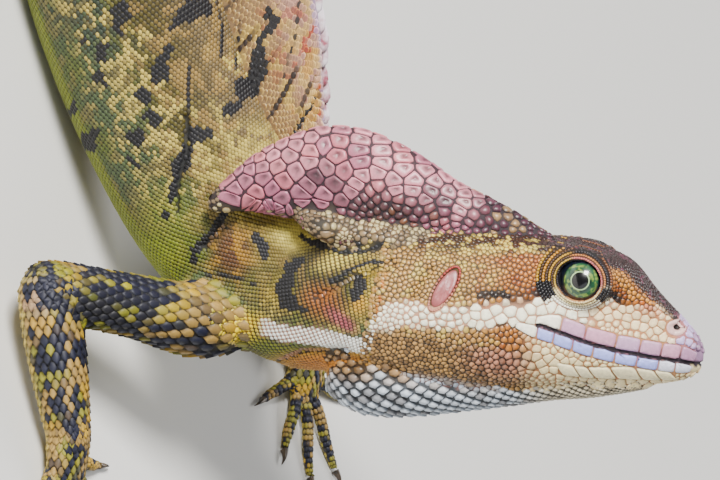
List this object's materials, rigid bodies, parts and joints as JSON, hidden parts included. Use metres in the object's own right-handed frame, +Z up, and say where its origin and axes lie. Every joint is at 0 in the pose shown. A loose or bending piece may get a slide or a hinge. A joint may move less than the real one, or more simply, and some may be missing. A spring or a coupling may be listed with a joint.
{
  "type": "common basilisk lizard",
  "caption": "Life-size adult male basilisk lizard at rest, head raised, with a lobed head crest, a tall rayed back crest, a tail crest, long toes and a whip-like tail.",
  "frame": {"origin": "bottom centre of the whole model's box, on the floor", "axes": "+X along the trunk towards the head end, +Y to the animal's left, +Z up"},
  "size_m": [0.7048, 0.1842, 0.1031],
  "materials": {
    "body_scales": "small keeled olive and gold scales with dark blotches, satin",
    "head_scales": "small domed tan, cream and dark purple head scales, satin",
    "head_crest_plates": "large domed rose-mauve plates with dark seams, satin",
    "throat_scales": "pointed bluish-white scales with dark seams, satin",
    "crest_membrane": "thin pink-tan scaled membrane with dark rays and pale toothed edge, satin",
    "limb_scales": "keeled yellow and near-black banded scales, satin",
    "tail_scales": "keeled olive-brown scales with darker bands, satin",
    "eye": "wet clear eye over a green iris with a round black pupil",
    "claw": "dark brown horn, smooth"
  },
  "bodies": {
    "root": {"head": "head_scales", "eye_left": "eye", "eye_right": "eye", "head_crest": "head_crest_plates", "throat_pouch": "throat_scales", "neck": "body_scales", "chest": "body_scales", "belly": "body_scales", "pelvis": "body_scales", "back_crest": "crest_membrane", "tail_1": "tail_scales", "tail_2": "tail_scales", "tail_3": "tail_scales", "tail_4": "tail_scales", "tail_5": "tail_scales", "tail_crest": "crest_membrane", "upper_arm_right": "limb_scales", "forearm_right": "limb_scales", "hand_right": "limb_scales", "claw_hand_right_1": "claw", "claw_hand_right_2": "claw", "claw_hand_right_3": "claw", "claw_hand_right_4": "claw", "claw_hand_right_5": "claw", "upper_arm_left": "limb_scales", "forearm_left": "limb_scales", "hand_left": "limb_scales", "claw_hand_left_1": "claw", "claw_hand_left_2": "claw", "claw_hand_left_3": "claw", "claw_hand_left_4": "claw", "claw_hand_left_5": "claw", "thigh_right": "limb_scales", "shin_right": "limb_scales", "foot_right": "limb_scales", "claw_foot_right_1": "claw", "claw_foot_right_2": "claw", "claw_foot_right_3": "claw", "claw_foot_right_4": "claw", "claw_foot_right_5": "claw", "thigh_left": "limb_scales", "shin_left": "limb_scales", "foot_left": "limb_scales", "claw_foot_left_1": "claw", "claw_foot_left_2": "claw", "claw_foot_left_3": "claw", "claw_foot_left_4": "claw", "claw_foot_left_5": "claw"}
  },
  "joints": []
}
